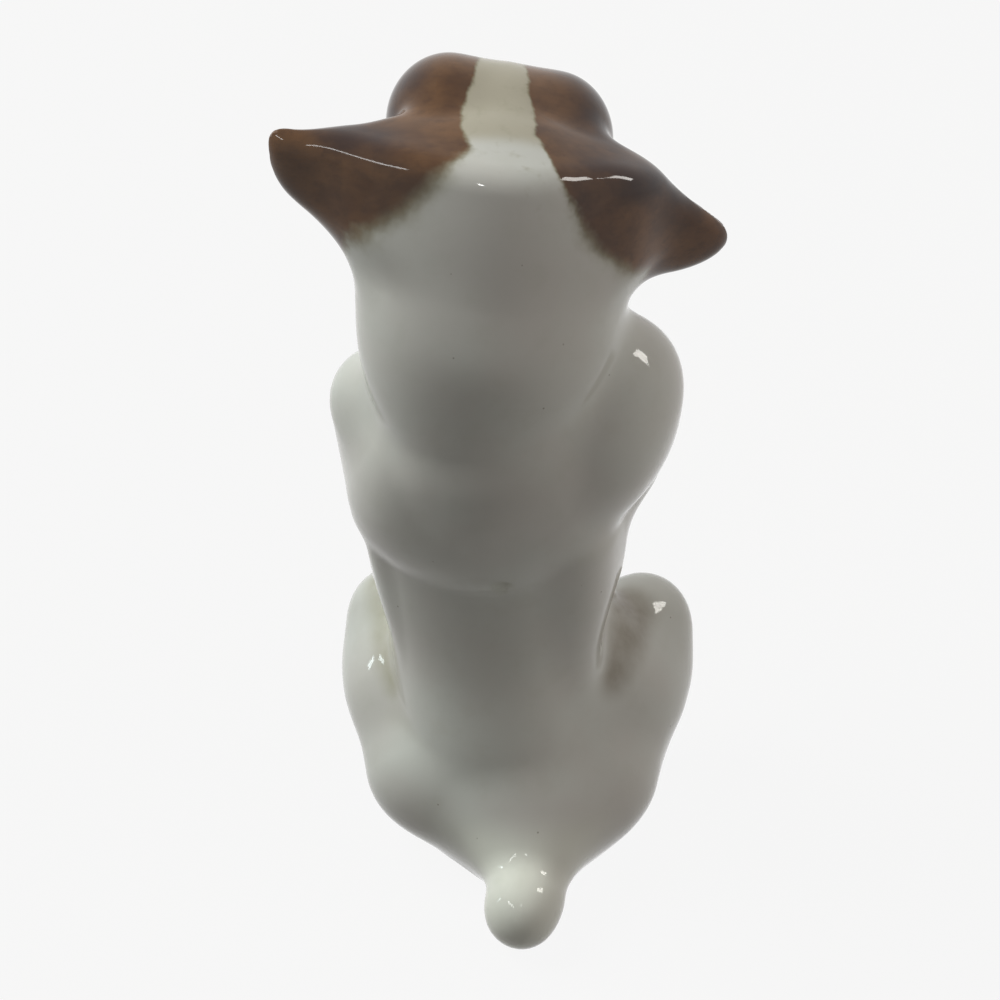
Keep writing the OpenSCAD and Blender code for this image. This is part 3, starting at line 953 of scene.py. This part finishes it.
def part_at_seams(points, faces):
    """Splits the faces that a seam crosses. Returns all points and each piece's faces."""
    distance = np.stack([form(points) - tie_break * k for k, form in enumerate(forms.values())], 1)
    owner = distance.argmin(1)
    corner_owners = owner[faces]
    whole = (corner_owners == corner_owners[:, :1]).all(1)
    parts = [faces[whole & (corner_owners[:, 0] == k)].tolist() for k in range(len(forms))]
    added, on_edge = [], {}

    def seam_point(i, j):
        key = (min(i, j), max(i, j))
        if key not in on_edge:
            a, b = owner[key[0]], owner[key[1]]
            start = distance[key[0], b] - distance[key[0], a]
            end = distance[key[1], a] - distance[key[1], b]
            share = np.clip(start / max(start + end, 1e-9), *seam_range)
            on_edge[key] = len(points) + len(added)
            added.append(points[key[0]] * (1 - share) + points[key[1]] * share)
        return on_edge[key]

    for face in faces[~whole].tolist():
        runs = []
        for here, after in zip(face, face[1:] + face[:1]):
            if not runs:
                runs.append([here])
            if owner[here] == owner[after]:
                runs[-1].append(after)
            else:
                crossing = seam_point(here, after)
                runs[-1].append(crossing)
                runs.append([crossing, after])
        runs[0] = runs.pop()[:-1] + runs[0]
        if len(runs) > 2:
            hub = len(points) + len(added)
            added.append(points[face].mean(0))
            runs = [run + [hub] for run in runs]
        for run in runs:
            parts[owner[run[1]]].append(run)
    return np.concatenate([points, settle(np.array(added))]), parts


def close_seams(points, faces):
    """Faces that close a piece's open rims, each a fan to a point inside the rim."""
    edges = {(a, b) for face in faces for a, b in zip(face, face[1:] + face[:1])}
    following = {}
    for a, b in sorted(edges):
        if (b, a) not in edges:
            following.setdefault(b, []).append(a)
    hubs, fans = [], []
    for start in sorted(following):
        if not following[start]:
            continue
        rim, here = [start], following[start].pop()
        while here != start:
            rim.append(here)
            here = following[here].pop()
        hub = len(points) + len(hubs)
        hubs.append(points[rim].mean(0))
        fans += [[a, b, hub] for a, b in zip(rim, rim[1:] + rim[:1])]
    return hubs, fans


# Valleys between the knees and the flanks, where most glaze gathers and shade is painted:
# start, end and radii of the middle, how far it fades out and how deep it is
pooled_and_shaded_valleys = (
    (((-15.4, 9.5, 27.6), (-13.2, -4.5, 23.2), 0.6, 0.4), 2.4, 0.7),
    (((16.0, 5.0, 28.6), (13.4, -4.8, 25.0), 2.4, 0.4), 3.6, 0.8),
)
valley_full = -0.6
# How hollow the skin is where pooled glaze and painted shade start and where they are deepest
hollow_range = (0.04, 0.5)
# Where most of the pooled glaze and painted shade is left out again: the heights under the
# hem, the y and the heights at the root of the tail, the heights and the y on the neck, and how
# much of it is left out
hem_above, hem_below = (30.0, 33.0), (50.0, 54.0)
root_behind, root_below = (-13.0, -9.0), (20.0, 30.0)
neck_above, neck_behind = (54.0, 58.0), (0.0, 6.0)
pool_and_shade_left_out = 0.85


def pooled_glaze_and_shade(points, step=1.8):
    """How hollow the skin is at each point, where liquid glaze gathers and shade is painted."""
    y, z = points[:, 1], points[:, 2]
    around = np.concatenate([np.eye(3), -np.eye(3)]) * step
    bend = sum(skin(points + k) for k in around) / step ** 2 - 6 * skin(points) / step ** 2
    hem = eased(z, *hem_above) * falling(z, *hem_below)
    tail_root = falling(y, *root_behind) * falling(z, *root_below)
    neck = eased(z, *neck_above) * falling(y, *neck_behind)
    pool_and_shade = eased(-bend, *hollow_range) * (1 - pool_and_shade_left_out * np.maximum(np.maximum(hem, tail_root), neck))
    for middle, fade, depth in pooled_and_shaded_valleys:
        pool_and_shade = np.maximum(pool_and_shade, depth * falling(taper(points, *middle), valley_full, fade))
    return pool_and_shade


# Where the tail's painted light fades out, behind and below
tail_light_behind, tail_light_below = (-19.0, -13.0), (10.0, 15.0)


def painted_tail_light(points):
    """The tail, painted paler: painted light where light from above falls on it."""
    return falling(points[:, 1], *tail_light_behind) * falling(points[:, 2], *tail_light_below)


# Darker paint along the head's own axes: the temples, the root of the right ear and how dark it
# is, and the rims of the ears, inside their outline. And how dark the paint gets where glaze pools
# and in the creases, which is painted shade.
temple_out, temple_ahead = (7.5, 11.5), (0.0, 4.0)
ear_root_right, ear_root_above, ear_root_darkness = (2.5, 8.0), (4.0, 8.0), 0.8
rim_inside, rim_out, rim_tip, rim_above = (-1.6, 0.0), (11.0, 15.0), (20.0, 23.0), (-1.0, 3.0)
pool_and_shade_darkness = 0.9


def darker_paint(points):
    """Where the brown is darker: the temples, the root of the right ear and the rims of the ears."""
    local = in_head(points)
    x, y, z = local.T
    dark = eased(np.abs(x), *temple_out) * eased(y, *temple_ahead)
    right_root = eased(x, *ear_root_right) * eased(z, *ear_root_above)
    dark = np.maximum(dark, ear_root_darkness * right_root)
    for side in SIDES:
        out = side * x
        rim = eased(ear_outline(local, side), *rim_inside)
        rim = rim * eased(out, *rim_out) * falling(out, *rim_tip)
        dark = np.maximum(dark, rim * eased(z, *rim_above))
    return dark


# How far the black goes beyond the nose and the eyes, and how soft its edge is
nose_beyond, eye_beyond, ink_edge = 0.25, 0.1, 0.25


def inked(points):
    """The eyes and the nose, touched in with black."""
    local = in_head(points)
    spots = egg(local, nose[0], np.array(nose[1]) + nose_beyond)
    for side in SIDES:
        spots = np.minimum(spots, egg(local, at_side(eye_place, side), eye_radii + eye_beyond))
    return falling(spots, -ink_edge, ink_edge)


points, faces = skin_mesh()
points, parts = part_at_seams(settle(points), faces)
normals = slope_of_skin(points)
normals /= np.linalg.norm(normals, axis=1, keepdims=True)
marks = {"pool_and_shade": pooled_glaze_and_shade(points), "ink": inked(points)}
# The paint is darker in the hollows too, where glaze pools and shade is painted
marks["dark"] = np.maximum(darker_paint(points), pool_and_shade_darkness * marks["pool_and_shade"])
marks["brown"], marks["wash"] = brushed_brown(points)
marks["tan"] = tanned(points)
marks["tail_light"] = painted_tail_light(points)

for piece, faces in zip(pieces.values(), parts):
    hubs, fans = close_seams(points, faces)
    skin_corners = np.concatenate(faces)
    used = np.unique(skin_corners).astype(int)
    renumbered = np.full(len(points) + len(hubs), -1)
    renumbered[used] = np.arange(len(used))
    renumbered[len(points):] = len(used) + np.arange(len(hubs))
    corners = [renumbered[face].tolist() for face in faces + fans]
    places = np.concatenate([points[used], np.array(hubs).reshape(-1, 3)]) * MM
    mesh = piece.data
    mesh.from_pydata(places.tolist(), [], corners)
    hidden_corners = np.zeros((3 * len(fans), 3))
    mesh.normals_split_custom_set(np.concatenate([normals[skin_corners], hidden_corners]).tolist())
    for mark, values in marks.items():
        stored = mesh.attributes.new(mark, "FLOAT", "POINT")
        stored.data.foreach_set("value", np.concatenate([values[used], np.zeros(len(hubs))]))


# Table and studio
# A plain pale table top in a white room. Soft daylight comes from the left and above, a far
# window lights the dog's right, and the middle of its back stays in soft warm shade. Four small
# windows give the highlights.

floor_half = 6.0
floor_corners = [(x * floor_half, y * floor_half, 0) for x, y in ((-1, -1), (1, -1), (1, 1), (-1, 1))]
floor_mesh = bpy.data.meshes.new("floor")
floor_mesh.from_pydata(floor_corners, [], [(0, 1, 2, 3)])
floor = bpy.data.objects.new("floor", floor_mesh)
bpy.context.scene.collection.objects.link(floor)


def white_to_the_eye(tree):
    """1 for the camera and for what gloss and glass show, 0 for the light on the object."""
    path = add_node(tree, "ShaderNodeLightPath", {}).outputs
    seen = maths(tree, "MAXIMUM", path["Is Camera Ray"], path["Is Glossy Ray"])
    return maths(tree, "MAXIMUM", seen, path["Is Transmission Ray"])


table_colour, table_glow = (0.28, 0.27, 0.26, 1), 0.91
pure_white = (1, 1, 1, 1)


def table_top_material():
    made, tree = bare_material("table_top")
    matt = add_node(tree, "ShaderNodeBsdfDiffuse", {"Color": table_colour})
    glow = add_node(tree, "ShaderNodeEmission", {"Color": pure_white, "Strength": 1.0})
    both = add_node(tree, "ShaderNodeMixShader", {
        "Fac": maths(tree, "MULTIPLY", white_to_the_eye(tree), table_glow),
        1: matt.outputs[0], 2: glow.outputs[0],
    })
    add_node(tree, "ShaderNodeOutputMaterial", {"Surface": both.outputs[0]})
    return made


floor_mesh.materials.append(table_top_material())
lamp_aim = Vector((0, 0, 0.05))


def soft_box(name, place, size, watts, tint, in_gloss):
    """A lamp that either lights the room or, in gloss, only shows as a highlight."""
    lamp = bpy.data.lights.new(name, "AREA")
    lamp.shape, lamp.size, lamp.size_y = "RECTANGLE", size[0], size[1]
    lamp.energy, lamp.color = watts, tint
    holder = bpy.data.objects.new(name, lamp)
    bpy.context.scene.collection.objects.link(holder)
    holder.location = place
    holder.visible_glossy = in_gloss
    holder.visible_diffuse = not in_gloss
    holder.rotation_euler = (lamp_aim - Vector(place)).to_track_quat("-Z", "Y").to_euler()


soft_box("daylight", (-0.50, 0.15, 0.66), (0.45, 0.45), 5.0, (0.95, 1.0, 0.97), False)
soft_box("far_window", (0.62, -0.05, 0.42), (0.5, 0.6), 1.45, (1.0, 0.95, 0.89), False)
soft_box("high_window", (-0.45, -0.36, 0.56), (0.4, 0.05), 0.8, (1.0, 1.0, 1.0), True)
soft_box("left_window", (-0.71, 0.08, 0.27), (0.06, 0.16), 0.45, (0.85, 0.97, 1.0), True)
soft_box("right_window", (0.62, 0.15, 0.55), (0.12, 0.24), 1.3, (1.0, 0.97, 0.92), True)
soft_box("rear_window", (-0.01, -0.49, 0.62), (0.05, 0.06), 0.25, (1.0, 1.0, 1.0), True)

# The room is white to the eye, and lights the dog only a little, with a warm tint
room_light, room_tint = 0.07, (1.0, 0.91, 0.84, 1)
world = bpy.data.worlds.new("studio")
bpy.context.scene.world = world
world.use_nodes = True
world.node_tree.nodes.clear()
seen_share = white_to_the_eye(world.node_tree)
level = add_node(world.node_tree, "ShaderNodeMapRange", {
    "Value": seen_share, "To Min": room_light, "To Max": 1.0,
})
sky = add_node(world.node_tree, "ShaderNodeBackground", {
    "Color": blend_colour(world.node_tree, seen_share, room_tint, pure_white),
    "Strength": level.outputs["Result"],
})
add_node(world.node_tree, "ShaderNodeOutputWorld", {"Surface": sky.outputs[0]})


# Camera
# Held above and behind the dog, looking down at its back.

camera_place = (0.0, -0.201, 0.194)
camera_pitch = 36.0
camera = bpy.data.cameras.new("camera")
camera.lens, camera.sensor_width = 76.5, 36.0
camera_object = bpy.data.objects.new("camera", camera)
bpy.context.scene.collection.objects.link(camera_object)
camera_object.location = camera_place
camera_object.rotation_euler = (math.radians(90 - camera_pitch), 0, 0)
bpy.context.scene.camera = camera_object
bpy.context.scene.view_settings.view_transform = "Standard"
